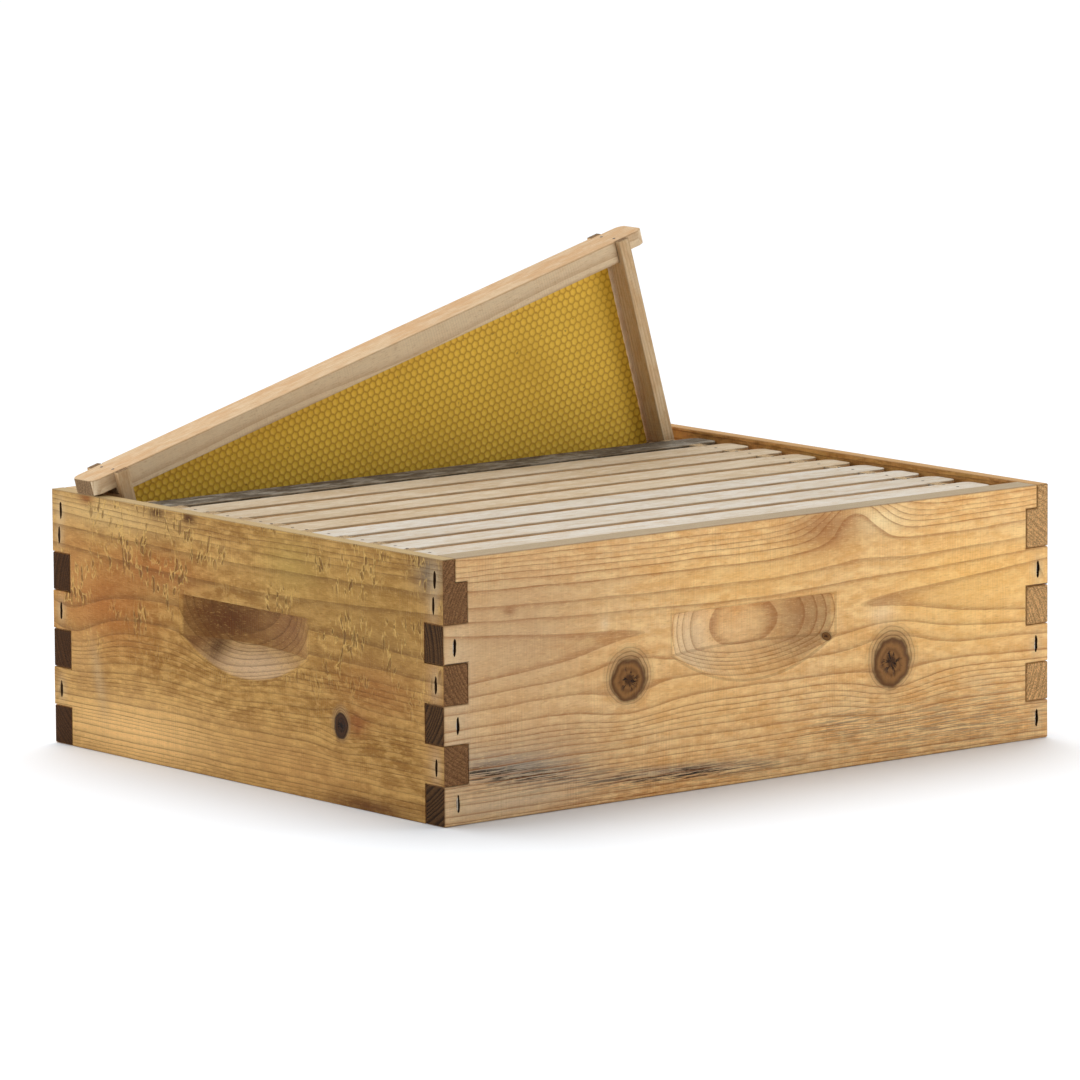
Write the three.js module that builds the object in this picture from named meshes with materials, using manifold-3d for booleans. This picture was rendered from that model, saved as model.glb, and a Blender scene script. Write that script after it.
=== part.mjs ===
// A ten-frame medium hive body. Four finger-jointed pine boards make an open box, nine
// frames of foundation hang inside it by their ears, and the tenth has been lifted out of
// the rear slot and leans across it. Each frame is a top bar, two forked end bars, a
// bottom bar and an embossed sheet of foundation.
//
// Millimetres. +X runs along the long side boards, +Y to the rear, +Z up. The origin is
// on the floor under the middle of the box.

import * as THREE from 'three';
import { mergeVertices } from 'three/addons/utils/BufferGeometryUtils.js';
import Module from 'manifold-3d';

// Gap left between pieces that touch
const fit = 0.3;

// Box: boards, and the fingers that lock their ends together
const boxLength = 504.8;
const boxWidth = 412.8;
const boxHeight = 168.3;
const boardThickness = 19.05;
const fingerHeight = 25.4;
const equalFingers = 5;

// Ledge cut along the inner top edge of each end board, where the frame ears rest
const ledgeDrop = 15.5;
const ledgeDepth = 9.5;
const ledgeHeight = boxHeight - ledgeDrop;
const inWall = boxLength / 2 - boardThickness;

// Handhold: a scoop cut by a wide round cutter. Its back wall is an arc in plan, upright
// from the crease to the top edge, and below the crease it ramps out to the surface.
const holdHalfWidth = 68.5;
const holdDepth = 12.8;
const holdTop = 115;
const holdCrease = 88.5;
const holdFoot = 66;
const holdSteps = 24;

// Frame, measured from the middle of its top face
const topBarLength = 483;
const topBarWidth = 27;
const topBarThickness = 15;
const earWidth = 24.4;
const earThickness = 10.5;
const earCornerLength = 6;
const earCornerWidth = 4.5;
const endBarSpan = 448;
const endBarWidth = 34.6;
const endBarThickness = 9.2;
const frameHeight = 156.8;
const bottomBarWidth = 19;
const bottomBarThickness = 9.5;

// Foundation, and the grooves that hold its thin top and bottom edges
const sheetThickness = 4;
const sheetEndGap = 2.8;
const tongueThickness = 1.8;
const tongueHeight = 4.5;
const grooveWidth = 3;
const grooveDepth = 5.5;

// Slots, counted from the front
const seatedFrames = 9;
const slotPitch = 35;
const firstSlot = -152.5;
const leaningFrameY = 168;
const footOnLedge = 1;

const pine = { color: 0xd2a266, roughness: 0.55, metalness: 0 };
const barePine = { color: 0xd2c0a0, roughness: 0.7, metalness: 0 };
const greyPine = { color: 0x8a8378, roughness: 0.85, metalness: 0 };
const wax = { color: 0xc09a3c, roughness: 0.45, metalness: 0 };

const wasm = await Module();
wasm.setup();

function toSolid(geometry) {
  const bare = geometry.clone();
  bare.deleteAttribute('normal');
  bare.deleteAttribute('uv');
  const welded = mergeVertices(bare, 1e-4);
  return new wasm.Manifold(new wasm.Mesh({
    numProp: 3,
    vertProperties: new Float32Array(welded.attributes.position.array),
    triVerts: new Uint32Array(welded.index.array),
  }));
}

function toGeometry(solid) {
  const { vertProperties, triVerts } = solid.getMesh();
  const geometry = new THREE.BufferGeometry();
  geometry.setAttribute('position', new THREE.BufferAttribute(vertProperties, 3));
  geometry.setIndex(new THREE.BufferAttribute(triVerts, 1));
  geometry.computeVertexNormals();
  return geometry;
}

function cutFrom(geometry, ...tools) {
  const solid = tools.reduce((left, tool) => left.subtract(toSolid(tool)), toSolid(geometry));
  return toGeometry(solid);
}

function makeMesh(name, geometry, look) {
  const mesh = new THREE.Mesh(geometry, new THREE.MeshStandardMaterial(look));
  mesh.name = name;
  return mesh;
}

function boxBetween(low, high) {
  const size = high.map((value, axis) => value - low[axis]);
  const middle = high.map((value, axis) => (value + low[axis]) / 2);
  return new THREE.BoxGeometry(...size).translate(...middle);
}

function outline(points) {
  return new THREE.Shape(points.map(([across, up]) => new THREE.Vector2(across, up)));
}

// Closes a half outline, listed from bottom to top, with its mirror image.
function mirrored(half) {
  return outline([...half, ...half.toReversed().map(([across, up]) => [-across, up])]);
}

// A flat shape drawn in X and Z, given its thickness from y = 0 back to +Y.
function panelInXZ(shape, thickness) {
  const geometry = new THREE.ExtrudeGeometry(shape, { depth: thickness, bevelEnabled: false });
  return geometry.rotateX(Math.PI / 2).translate(0, thickness, 0);
}

// A flat shape drawn in Y and Z, given its thickness from x = 0 to +X.
function panelInYZ(shape, thickness) {
  const geometry = new THREE.ExtrudeGeometry(shape, { depth: thickness, bevelEnabled: false });
  return geometry.rotateX(Math.PI / 2).rotateZ(Math.PI / 2);
}

// Half outline of a board's fingered end. Side boards own the bottom finger and every
// second one above it; end boards own the rest and the taller top finger.
function fingerEnd(halfLength, ownsRow) {
  const points = [];
  for (let row = 0; row <= equalFingers; row += 1) {
    const owned = ownsRow(row);
    const ease = owned ? fit / 2 : -fit / 2;
    const low = row === 0 ? 0 : row * fingerHeight + ease;
    const high = row === equalFingers ? boxHeight : (row + 1) * fingerHeight - ease;
    const reach = owned ? halfLength : halfLength - boardThickness - fit;
    points.push([reach, low], [reach, high]);
  }
  return points;
}

// The scoop that the handhold cutter takes out of a board whose outer face is y = 0.
function handholdTools() {
  const radius = (holdHalfWidth ** 2 + holdDepth ** 2) / (2 * holdDepth);
  const clear = 1;
  const arc = [];
  for (let step = 0; step <= holdSteps; step += 1) {
    const across = holdHalfWidth * (1 - 2 * step / holdSteps);
    arc.push([across, Math.sqrt(radius ** 2 - across ** 2) - radius + holdDepth]);
  }
  const plan = outline([[-holdHalfWidth, -clear], [holdHalfWidth, -clear], ...arc]);
  const upright = new THREE.ExtrudeGeometry(plan, {
    depth: holdTop - holdCrease,
    bevelEnabled: false,
  });
  const ramp = new THREE.ExtrudeGeometry(plan, {
    depth: holdCrease - holdFoot,
    bevelEnabled: false,
  });
  const slope = holdDepth / (holdCrease - holdFoot);
  const lean = new THREE.Matrix4().makeShear(0, 0, 0, 0, 0, slope);
  ramp.applyMatrix4(lean);
  return [
    upright.translate(0, 0, holdCrease),
    ramp.translate(0, -holdDepth, holdFoot),
  ];
}

function sideBoard() {
  const edge = fingerEnd(boxLength / 2, (row) => row < equalFingers && row % 2 === 0);
  const recess = edge.pop()[0];
  const shoulder = ledgeHeight + fit;
  const lug = boxLength / 2 - (boardThickness - ledgeDepth) - fit;
  edge.push([recess, shoulder], [lug, shoulder], [lug, boxHeight]);
  return cutFrom(panelInXZ(mirrored(edge), boardThickness), ...handholdTools());
}

function endBoard() {
  const edge = fingerEnd(boxWidth / 2, (row) => row % 2 === 1);
  const ledge = boxBetween(
    [-boxWidth, boardThickness - ledgeDepth, ledgeHeight],
    [boxWidth, 2 * boardThickness, 2 * boxHeight],
  );
  return cutFrom(panelInXZ(mirrored(edge), boardThickness), ledge, ...handholdTools());
}

function hiveBox() {
  const box = new THREE.Group();
  const walls = [
    { name: 'front_side_board', shape: sideBoard, turn: 0, distance: boxWidth / 2 },
    { name: 'right_end_board', shape: endBoard, turn: Math.PI / 2, distance: boxLength / 2 },
    { name: 'rear_side_board', shape: sideBoard, turn: Math.PI, distance: boxWidth / 2 },
    { name: 'left_end_board', shape: endBoard, turn: -Math.PI / 2, distance: boxLength / 2 },
  ];
  for (const { name, shape, turn, distance } of walls) {
    const wall = makeMesh(name, shape(), pine);
    wall.rotation.z = turn;
    wall.position.set(distance * Math.sin(turn), -distance * Math.cos(turn), 0);
    box.add(wall);
  }
  return box;
}

// Top bar: a wide body, a narrower neck where the forks clasp it, and thin ears with
// their corners taken off.
function topBar() {
  const half = topBarLength / 2;
  const neck = endBarSpan / 2 - endBarThickness - fit;
  const quarter = new THREE.Path();
  quarter.moveTo(neck, topBarWidth / 2);
  quarter.lineTo(neck, earWidth / 2);
  quarter.lineTo(half - earCornerLength, earWidth / 2);
  quarter.quadraticCurveTo(half - 1, earWidth / 2 - 1, half, earWidth / 2 - earCornerWidth);
  const rearRight = quarter.getPoints(5).map(({ x, y }) => [x, y]);
  const right = [...rearRight, ...rearRight.toReversed().map(([x, y]) => [x, -y])];
  const left = right.map(([x, y]) => [-x, -y]);
  const bar = new THREE.ExtrudeGeometry(outline([...right, ...left]), {
    depth: topBarThickness,
    bevelEnabled: false,
  });
  bar.translate(0, 0, -topBarThickness);
  const earStart = endBarSpan / 2 + fit;
  const underEars = [-1, 1].map((side) => boxBetween(
    [Math.min(side * earStart, side * topBarLength), -topBarWidth, -2 * topBarThickness],
    [Math.max(side * earStart, side * topBarLength), topBarWidth, -earThickness],
  ));
  const groove = boxBetween(
    [-neck, -grooveWidth / 2, -2 * topBarThickness],
    [neck, grooveWidth / 2, grooveDepth - topBarThickness],
  );
  return cutFrom(bar, ...underEars, groove);
}

// End bar: a fork at the top for the top bar's neck, a notch at the foot for the bottom bar.
function endBar() {
  const half = endBarWidth / 2;
  const footNotch = bottomBarWidth / 2 + fit;
  const footNotchTop = bottomBarThickness + fit - frameHeight;
  const fork = earWidth / 2 + fit;
  const forkFloor = -topBarThickness - fit;
  const shape = mirrored([
    [footNotch, footNotchTop],
    [footNotch, -frameHeight],
    [half, -frameHeight],
    [half, 0],
    [fork, 0],
    [fork, forkFloor],
  ]);
  return panelInYZ(shape, endBarThickness);
}

function bottomBar() {
  const bar = boxBetween(
    [-endBarSpan / 2, -bottomBarWidth / 2, -frameHeight],
    [endBarSpan / 2, bottomBarWidth / 2, bottomBarThickness - frameHeight],
  );
  const inner = endBarSpan / 2 - endBarThickness - fit;
  const groove = boxBetween(
    [-inner, -grooveWidth / 2, bottomBarThickness - grooveDepth - frameHeight],
    [inner, grooveWidth / 2, 0],
  );
  return cutFrom(bar, groove);
}

// Foundation: a sheet as thick as its embossed cells, with a thin tongue along its top
// and bottom edges.
function foundation() {
  const top = -topBarThickness - fit;
  const bottom = bottomBarThickness + fit - frameHeight;
  const section = mirrored([
    [tongueThickness / 2, bottom - tongueHeight],
    [tongueThickness / 2, bottom],
    [sheetThickness / 2, bottom],
    [sheetThickness / 2, top],
    [tongueThickness / 2, top],
    [tongueThickness / 2, top + tongueHeight],
  ]);
  const length = endBarSpan - 2 * (endBarThickness + sheetEndGap);
  return panelInYZ(section, length).translate(-length / 2, 0, 0);
}

function makeFrame(number, woodLook) {
  const name = `frame_${number}`;
  const frame = new THREE.Group();
  const leftEnd = makeMesh(`${name}_left_end_bar`, endBar(), barePine);
  const rightEnd = makeMesh(`${name}_right_end_bar`, endBar(), barePine);
  leftEnd.position.x = -endBarSpan / 2;
  rightEnd.position.x = endBarSpan / 2 - endBarThickness;
  frame.add(
    makeMesh(`${name}_top_bar`, topBar(), woodLook),
    leftEnd,
    rightEnd,
    makeMesh(`${name}_bottom_bar`, bottomBar(), barePine),
    makeMesh(`${name}_foundation`, foundation(), wax),
  );
  return frame;
}

// A seated frame hangs by its ears on the ledges of the end boards.
function seatedFrame(slot) {
  const weathered = slot === seatedFrames - 1;
  const frame = makeFrame(slot + 1, weathered ? greyPine : barePine);
  const topFace = ledgeHeight + fit + earThickness;
  frame.position.set(0, firstSlot + slot * slotPitch, topFace);
  return frame;
}

// The last frame leans: the underside of its left ear lies on the outer edge of the left
// rim, and the foot of its right end bar stands on the inner edge of the right ledge.
function leaningFrame() {
  const rimEdge = new THREE.Vector2(-boxLength / 2, boxHeight + fit);
  const foot = new THREE.Vector2(inWall + footOnLedge, ledgeHeight + fit);
  const drop = Math.atan2(rimEdge.y - foot.y, foot.x - rimEdge.x);
  const earToFoot = frameHeight - earThickness;
  const tilt = Math.asin(earToFoot / rimEdge.distanceTo(foot)) - drop;
  const footFromTop = new THREE.Vector2(endBarSpan / 2, -frameHeight);
  footFromTop.rotateAround(new THREE.Vector2(), tilt);
  const frame = makeFrame(seatedFrames + 1, barePine);
  frame.rotation.y = -tilt;
  frame.position.set(foot.x - footFromTop.x, leaningFrameY, foot.y - footFromTop.y);
  return frame;
}

const group = new THREE.Group();
group.add(hiveBox());
for (let slot = 0; slot < seatedFrames; slot += 1) {
  group.add(seatedFrame(slot));
}
group.add(leaningFrame());

export default group;
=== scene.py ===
import math
import random

import bmesh
import bpy
from mathutils import Matrix, Vector


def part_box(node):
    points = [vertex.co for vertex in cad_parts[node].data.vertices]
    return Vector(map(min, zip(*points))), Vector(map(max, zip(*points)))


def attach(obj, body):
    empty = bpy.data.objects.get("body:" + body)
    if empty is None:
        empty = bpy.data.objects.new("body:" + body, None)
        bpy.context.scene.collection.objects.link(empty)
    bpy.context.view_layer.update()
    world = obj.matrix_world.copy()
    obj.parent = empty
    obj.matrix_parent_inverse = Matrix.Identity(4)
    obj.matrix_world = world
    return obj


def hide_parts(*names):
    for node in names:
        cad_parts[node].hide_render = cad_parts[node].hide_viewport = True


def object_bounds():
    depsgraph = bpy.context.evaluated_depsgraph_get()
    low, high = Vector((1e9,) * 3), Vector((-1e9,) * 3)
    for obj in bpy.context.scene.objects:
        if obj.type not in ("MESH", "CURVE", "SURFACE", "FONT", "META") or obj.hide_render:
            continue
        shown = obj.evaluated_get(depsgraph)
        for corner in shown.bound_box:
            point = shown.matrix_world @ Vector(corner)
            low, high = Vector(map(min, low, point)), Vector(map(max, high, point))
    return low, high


# The looks of a finger-jointed pine hive body and its ten frames of foundation.
# Boards and bars are copies of the CAD pieces with eased edges. Every wooden piece stores
# its own wood coordinates, so that one solid pine pattern shows long grain on its sides,
# ring lines in its handholds and rings on its ends, whichever way the piece lies.

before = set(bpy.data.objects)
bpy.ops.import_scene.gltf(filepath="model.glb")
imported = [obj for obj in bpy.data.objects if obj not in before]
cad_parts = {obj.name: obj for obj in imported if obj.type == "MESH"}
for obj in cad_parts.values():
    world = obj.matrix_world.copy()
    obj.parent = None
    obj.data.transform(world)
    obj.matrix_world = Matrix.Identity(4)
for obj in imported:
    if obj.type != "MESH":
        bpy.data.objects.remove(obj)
CAD_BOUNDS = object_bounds()

MM = 0.001
UP = Vector((0, 0, 1))
SIDEWAYS = Vector((0, 1, 0))

# Points closer than this count as the same place.
TOUCHING = 0.01 * MM

# How far the edges of boards and bars are eased.
BOARD_EDGE = 0.9 * MM
BAR_EDGE = 0.6 * MM

# Frames are counted from the front of the box. Those up to BLEACHED have bleached most.
BLEACHED = 4
WEATHERED = 9
LEANING = 10
FRAMES = range(1, LEANING + 1)
BARS = ("top_bar", "left_end_bar", "right_end_bar", "bottom_bar")

# Heights on a board's face in millimetres: its rim, and where a handhold's wall meets its ramp.
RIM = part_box("front_side_board")[1].z / MM
CREASE = 88.5


# ---------------------------------------------------------------- shader arithmetic

class Field:
    """A number that varies over a surface. Arithmetic on it adds nodes to its material."""

    def __init__(self, tree, socket):
        self.tree = tree
        self.socket = socket

    def maths(self, operation, *others):
        node = self.tree.nodes.new("ShaderNodeMath")
        node.operation = operation
        for socket, value in zip(node.inputs, (self, *others)):
            plug(self.tree, value, socket)
        return Field(self.tree, node.outputs[0])

    def __add__(self, other):
        return self.maths("ADD", other)

    def __sub__(self, other):
        return self.maths("SUBTRACT", other)

    def __mul__(self, other):
        return self.maths("MULTIPLY", other)

    def __truediv__(self, other):
        return self.maths("DIVIDE", other)

    def ramp(self, low, high):
        """0 below low, 1 above high, smooth between. It falls if low is above high."""
        node = self.tree.nodes.new("ShaderNodeMapRange")
        node.interpolation_type = "SMOOTHSTEP"
        plug(self.tree, self, node.inputs[0])
        node.inputs[1].default_value = low
        node.inputs[2].default_value = high
        return Field(self.tree, node.outputs[0])


def plug(tree, value, socket):
    if isinstance(value, Field):
        tree.links.new(value.socket, socket)
    else:
        socket.default_value = value


def vector(tree, x, y, z):
    node = tree.nodes.new("ShaderNodeCombineXYZ")
    for socket, value in zip(node.inputs, (x, y, z)):
        plug(tree, value, socket)
    return Field(tree, node.outputs[0])


def length(x, y):
    return (x * x + y * y).maths("SQRT")


def bell(*distances):
    """1 where every distance is 0, falling away smoothly."""
    total = distances[0] * distances[0]
    for distance in distances[1:]:
        total = total + distance * distance
    return (total * -1).maths("EXPONENT")


def noise(place, detail=2.0, roughness=0.5):
    """Cloudy noise from 0 to 1 at a place made by vector()."""
    node = place.tree.nodes.new("ShaderNodeTexNoise")
    plug(place.tree, place, node.inputs["Vector"])
    node.inputs["Scale"].default_value = 1
    node.inputs["Detail"].default_value = detail
    node.inputs["Roughness"].default_value = roughness
    return Field(place.tree, node.outputs[0])


def each_ring(number):
    """A random value from 0 to 1 for each whole number."""
    node = number.tree.nodes.new("ShaderNodeTexWhiteNoise")
    node.noise_dimensions = "1D"
    plug(number.tree, number.maths("FLOOR"), node.inputs["W"])
    return Field(number.tree, node.outputs["Value"])


def mix(share, base, other):
    """The base colour with a share of the other."""
    node = share.tree.nodes.new("ShaderNodeMix")
    node.data_type = "RGBA"
    plug(share.tree, share, node.inputs[0])
    plug(share.tree, base, node.inputs[6])
    plug(share.tree, other, node.inputs[7])
    return Field(share.tree, node.outputs[2])


def brightness(colour, amount):
    """The colour times a number that varies around 1."""
    node = colour.tree.nodes.new("ShaderNodeVectorMath")
    node.operation = "SCALE"
    plug(colour.tree, colour, node.inputs[0])
    plug(colour.tree, amount, node.inputs["Scale"])
    return Field(colour.tree, node.outputs[0])


def srgb(red, green, blue):
    """A screen colour, 0 to 255 per channel, as the linear colour a shader wants."""
    def linear(value):
        share = value / 255
        return share / 12.92 if share < 0.04045 else ((share + 0.055) / 1.055) ** 2.4
    return (linear(red), linear(green), linear(blue), 1.0)


def new_material(name):
    material = bpy.data.materials.new(name)
    material.use_nodes = True
    tree = material.node_tree
    shader = tree.nodes["Principled BSDF"]
    return material, tree, shader


def bump(height, depth_mm):
    """A normal from a height field whose full range is depth_mm."""
    node = height.tree.nodes.new("ShaderNodeBump")
    node.inputs["Distance"].default_value = depth_mm * MM
    plug(height.tree, height, node.inputs["Height"])
    return Field(height.tree, node.outputs[0])


def attribute(tree, name, output):
    node = tree.nodes.new("ShaderNodeAttribute")
    node.attribute_name = name
    return Field(tree, node.outputs[output])


# ---------------------------------------------------------------- pine

class Knot:
    """A round knot: where it is on the board's face, its radius and how far it is oval.
    The rings are pushed apart around it, and swell over one that lies under the surface."""

    def __init__(self, across, height, radius, oval=1.0, push=0.7, swell=0, shown=True):
        self.across = across
        self.height = height
        self.radius = radius
        self.oval = oval
        self.push = push
        self.swell = swell
        self.shown = shown


class StainOrPaintedLight:
    """A soft patch of another colour: a real stain, or in a handhold painted light and shade. It
    rises along the board by its slope. A streaked one follows the grain. One that lies only in
    the handhold says where: on its "wall", on its "ramp" or on "both"."""

    def __init__(self, middle, half, colour, strength, slope=0, streaked=False, scoop=None):
        self.middle = middle
        self.half = half
        self.colour = colour
        self.strength = strength
        self.slope = slope
        self.streaked = streaked
        self.scoop = scoop


def wood_place(tree):
    """Millimetres along the grain, up the face and in from the face, stored on the mesh."""
    split = tree.nodes.new("ShaderNodeSeparateXYZ")
    plug(tree, attribute(tree, "wood", "Vector"), split.inputs[0])
    return [Field(tree, output) * 1000 for output in split.outputs]


def grain_noise(wood, long, across, detail=2.0, roughness=0.5):
    """Noise with spots that are long by across, in millimetres along and across the grain."""
    along, up, inward = wood
    place = vector(along.tree, along / long, up / across, inward / across)
    return noise(place, detail, roughness)


def ring_phase(wood, looks):
    """Growth rings counted out from the pith, which wanders up and down, and which bows
    towards the face at both ends of a board so that the rings open into tongues there."""
    along, up, inward = wood
    bent = up
    swell = along * 0
    for knot in looks["knots"]:
        near = bell((along - knot.across) / (2.4 * knot.radius),
                    (up - knot.height) / (1.7 * knot.radius))
        bent = bent - (up - knot.height) * near * knot.push
        swell = swell + near * knot.swell
    drift = noise(vector(along.tree, along / 150, 3.7, 1.3), 1.0) - 0.5
    from_pith_up = bent - looks["pith"][0] + drift * (2 * looks["wander"])
    from_pith_in = inward - looks["pith"][1] + along * along * looks["bow"]
    ripples = grain_noise(wood, 55, 13, 1.5) - 0.5
    ripples = ripples * from_pith_up.maths("ABSOLUTE").ramp(4, 50)
    radius = length(from_pith_up, from_pith_in) + ripples * (2 * looks["ripple"]) - swell
    # The rings grow wider and narrower in turn.
    phase = radius / looks["ring"]
    return phase + (phase * 0.96).maths("SINE") * 0.5


def paint_knot(colour, height, knot, wood, looks):
    """Adds a knot's own rings, dark heart, cracks, rim and halo to a colour and a height."""
    along, up, _ = wood
    tree = along.tree
    across = (along - knot.across) / knot.oval
    over = up - knot.height
    wobble = noise(vector(tree, along / 9, up / 9, knot.across), 2.0) - 0.5
    away = length(across, over) + wobble * (0.45 * knot.radius)
    share = away / knot.radius
    rings = (share * 15.0).maths("SINE") * 0.5 + 0.5
    body = mix(rings * 0.75, looks["knot_light"], looks["knot_dark"])
    body = mix(share.ramp(0.45, 0.15) * 0.85, body, looks["knot_heart"])
    body = mix(share.ramp(0.6, 0.95) * 0.5, body, looks["knot_rim"])
    spokes = vector(tree, across / away * 2.2, over / away * 2.2, away / 9)
    crack = noise(spokes, 2.0, 0.7).ramp(0.53, 0.6) * share.ramp(0.8, 0.25)
    body = mix(crack * 0.9, body, srgb(20, 12, 8))
    around = length(across, over - 0.18 * knot.radius) / knot.radius + wobble * 0.16
    hairlines = (around * 34.0).maths("SINE").ramp(0.2, 1.0)
    halo = around.ramp(1.7, 1.0)
    rim = bell((share - 1.0) / 0.1)
    colour = mix(halo * 0.6, colour, looks["knot_halo"])
    colour = mix(hairlines * halo * 0.55, colour, looks["knot_rim"])
    colour = mix(share.ramp(1.06, 0.92), colour, body)
    colour = mix(rim * 0.55, colour, looks["knot_rim"])
    return colour, height - rim * 0.5 - crack * 1.2


def add_stains_and_painted_light(colour, stains_and_painted_light, wood):
    """Adds soft patches, stains and painted light, the streaked ones in fine lines along the
    grain.
    """
    along, up, inward = wood
    lines = grain_noise(wood, 34, 1.1, 3.0, 0.7).ramp(0.47, 0.55)
    hollow = inward.ramp(0.5, 1.6) * inward.ramp(16, 14)
    scoops = {
        "both": hollow,
        "wall": hollow * up.ramp(CREASE - 0.4, CREASE + 0.4),
        "ramp": hollow * up.ramp(CREASE + 0.4, CREASE - 0.4),
    }
    for colour_patch in stains_and_painted_light:
        beside = along - colour_patch.middle[0]
        over = up - colour_patch.middle[1] - beside * colour_patch.slope
        share = bell(beside / colour_patch.half[0], over / colour_patch.half[1]) * colour_patch.strength
        if colour_patch.streaked:
            share = share * lines
        if colour_patch.scoop:
            share = share * scoops[colour_patch.scoop]
        colour = mix(share, colour, colour_patch.colour)
    return colour


def add_dents(colour, height, wood, dented):
    """Short upright nicks in the outer face, as a box gets from hive tools and trucks, with
    painted shade in each nick and a painted highlight round it.
    """
    along, up, inward = wood
    tree = along.tree
    lean = along + (noise(vector(tree, along / 40, up / 40, 2.2), 1.0) - 0.5) * 14
    marks = noise(vector(tree, lean / 3.4, up / 9, 4.4), 1.5, 0.5)
    where = noise(vector(tree, along / 42, up / 34, 9.1), 2.0).ramp(0.42, 0.6) * dented
    where = where * up.ramp(40, 110) * inward.ramp(1.2, 0.4)
    # Painted shade in each nick and a painted highlight round its rim, besides their bump.
    dark = marks.ramp(0.6, 0.7) * where
    light = marks.ramp(0.52, 0.6) * marks.ramp(0.66, 0.6) * where
    colour = mix(light * 0.6, colour, srgb(222, 180, 104))
    colour = mix(dark * 0.6, colour, srgb(108, 70, 28))
    return colour, height - dark * 1.6 + light * 0.8


def figure(wood, cloud, streaks, looks):
    """The wood's colour between its rings: streaks, mottling, short bright flecks, and painted
    bounce light, a lighter, warmer colour down a top bar's sides."""
    mottle = grain_noise(wood, 18, 6, 3.0, 0.6)
    shimmer = grain_noise(wood, 8, 4)
    colour = mix(cloud.ramp(0.3, 0.7), looks["early"], looks["tint"])
    colour = mix(streaks.ramp(0.5, 0.75) * looks["streaks"], colour, looks["streak"])
    colour = mix(mottle.ramp(0.5, 0.62) * looks["mottled"], colour, looks["mottle"])
    colour = mix(mottle.ramp(0.5, 0.38) * looks["mottled"], colour, looks["fleck"])
    # Painted light: a top bar's sides are painted lighter and warmer, for the light bounced into
    # the gaps between the bars.
    if looks["sides"]:
        side = attribute(cloud.tree, "below", "Fac").ramp(0.3, 1.2)
        colour = mix(side * 0.75, colour, looks["sides"])
    colour = mix(shimmer.ramp(0.52, 0.7) * looks["flecks"], colour, looks["fleck"])
    return mix(shimmer.ramp(0.46, 0.3) * looks["flecks"] * 0.6, colour, looks["streak"])


def end_grain(wood, tooth, cloud, looks):
    """The colour and height of wood cut across: ring bands and coarse pores."""
    pores = grain_noise(wood, 4, 0.8, 3.0, 0.75).ramp(0.32, 0.68)
    bands = tooth.ramp(0.25, 0.85) * tooth.ramp(1.0, 0.95) * (cloud + 0.4)
    ends = mix(bands * looks["banded"], looks["end_early"], looks["end_late"])
    return brightness(ends, pores * 0.9 + 0.55), pores * 0.9


def wear_and_pit_shade(colour, up, looks):
    """A weathered rim, worn edges, and painted shade inside the staple pits."""
    tree = colour.tree
    if looks["rim"]:
        colour = mix(up.ramp(RIM - 0.8, RIM - 0.1) * 0.85, colour, looks["rim"])
    colour = mix(attribute(tree, "eased", "Fac") * 0.28, colour, looks["worn"])
    # Painted shade: the faces inside the staple pits are painted nearly black.
    return mix(attribute(tree, "pit_shade", "Fac") * 0.8, colour, srgb(40, 26, 16))


def pine(name, looks, stains_and_painted_light=()):
    """Pine sawn from a log whose pith lies at looks['pith'], behind the piece's face."""
    material, tree, shader = new_material(name)
    wood = wood_place(tree)
    along, up, _ = wood
    phase = ring_phase(wood, looks)
    tooth = phase.maths("FRACT")
    cloud = grain_noise(wood, 70, 26, 3.0)
    streaks = grain_noise(wood, 48, 1.5, 3.0, 0.6)
    late = tooth.ramp(looks["late_start"], 0.96) * tooth.ramp(1.0, 0.975)
    late = late * (each_ring(phase) * 0.6 + 0.4) * (streaks.ramp(0.35, 0.6) * 0.4 + 0.6)

    fibre = grain_noise(wood, 7, 0.35, 2.0, 0.7)
    saw = grain_noise(wood, 1.3, 34, 2.0, 0.6) * looks["sawn"]
    grit = grain_noise(wood, 5, 0.9, 3.0, 0.7)
    # Plane marks ripple the height, and also give the colour a faint painted sheen below.
    planed = (along * 2.9 + cloud * 9).maths("SINE")
    planed = planed * noise(vector(tree, along / 40, up / 30, 6.6), 1.0).ramp(0.4, 0.7)
    tone = noise(vector(tree, along / 900, 4.1, 8.3), 1.0)

    colour = figure(wood, cloud, streaks, looks)
    colour = add_stains_and_painted_light(colour, [*looks["stains_and_painted_light"], *stains_and_painted_light], wood)
    colour = mix(tooth.ramp(0.3, 0.95) * 0.2, colour, looks["late"])
    colour = mix(late * looks["contrast"], colour, looks["late"])
    colour = mix(grit.ramp(0.52, 0.72) * looks["gritty"], colour, looks["late"])
    colour = mix(grit.ramp(0.46, 0.3) * looks["gritty"], colour, looks["fleck"])
    height = late * 0.35 + fibre * 0.35 + saw * 0.35 + planed * 0.12 + grit * 0.5
    if looks["dented"]:
        colour, height = add_dents(colour, height, wood, looks["dented"])
    for knot in looks["knots"]:
        if knot.shown:
            colour, height = paint_knot(colour, height, knot, wood, looks)

    cut = attribute(tree, "end_grain", "Fac")
    ends, end_height = end_grain(wood, tooth, cloud, looks)
    colour = mix(cut, colour, ends)
    height = height + cut * end_height
    colour = wear_and_pit_shade(colour, up, looks)
    # Brightness follows the fibres, saw marks and tone of the wood, with a faint painted sheen
    # along the plane marks.
    texture_and_sheen = fibre * 0.3 + saw * 0.24 + planed * 0.03 + tone * 0.3 + 0.6
    plug(tree, brightness(colour, texture_and_sheen), shader.inputs["Base Color"])
    plug(tree, cut * 0.25 + fibre * 0.2 + looks["roughness"], shader.inputs["Roughness"])
    plug(tree, bump(height, looks["relief"]), shader.inputs["Normal"])
    shader.inputs["Specular IOR Level"].default_value = 0.12
    return material
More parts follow.
